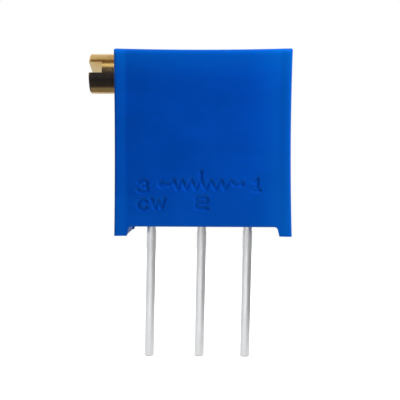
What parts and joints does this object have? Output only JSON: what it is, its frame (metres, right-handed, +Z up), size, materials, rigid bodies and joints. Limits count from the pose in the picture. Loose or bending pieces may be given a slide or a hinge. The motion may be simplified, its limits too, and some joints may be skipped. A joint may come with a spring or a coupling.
{
  "type": "trimmer potentiometer",
  "caption": "Multi-turn trimmer potentiometer: blue square housing with a side adjustment screw, worm-driven wiper and round leads in a row.",
  "frame": {"origin": "axis of the middle lead (terminal 2) where it passes the seating plane under the feet", "axes": "+X right along the row of leads, away from the adjustment screw; +Y away from the marked face; +Z up, away from the circuit board"},
  "size_m": [0.011, 0.0048, 0.0169],
  "materials": {
    "housing_plastic": "moulded blue thermoset, satin",
    "screw_brass": "turned brass, satin",
    "seal_rubber": "black silicone rubber",
    "spring_steel": "blanked sheet, bright",
    "wheel_plastic": "natural moulded plastic",
    "contact_alloy": "copper alloy spring sheet",
    "alumina": "fired alumina, matt",
    "cermet_film": "fired resistance film, dark and slightly glossy",
    "conductor_film": "fired silver conductor film, matt",
    "tinned_copper": "tinned copper wire, satin",
    "solder": "solder, bright",
    "epoxy": "cast amber resin"
  },
  "bodies": {
    "housing_assembly": {"housing": "housing_plastic", "screw_retainer": "spring_steel", "ceramic_plate": "alumina", "resistance_track": "cermet_film", "collector_track": "conductor_film", "end_trace_1": "conductor_film", "end_trace_3": "conductor_film", "terminal_1": "tinned_copper", "terminal_2": "tinned_copper", "terminal_3": "tinned_copper", "solder_1": "solder", "solder_2": "solder", "solder_3": "solder", "epoxy_potting": "epoxy"},
    "screw": {"adjustment_screw": "screw_brass", "seal_ring": "seal_rubber"},
    "wheel": {"worm_wheel": "wheel_plastic", "contact_spring": "contact_alloy"}
  },
  "joints": [
    {"name": "screw_turn", "type": "hinge", "parent": "housing_assembly", "child": "screw", "pos_m": [-0.00462, 0, 0.00876], "axis": [1, 0, 0], "range_deg": [-4500, 4500]},
    {"name": "wheel_turn", "type": "hinge", "parent": "housing_assembly", "child": "wheel", "pos_m": [0.00015, 0, 0.00501], "axis": [0, 1, 0], "range_deg": [-150, 150]}
  ],
  "couplings": [
    {"joint": "wheel_turn", "follows": "screw_turn", "ratio": -0.033333}
  ]
}
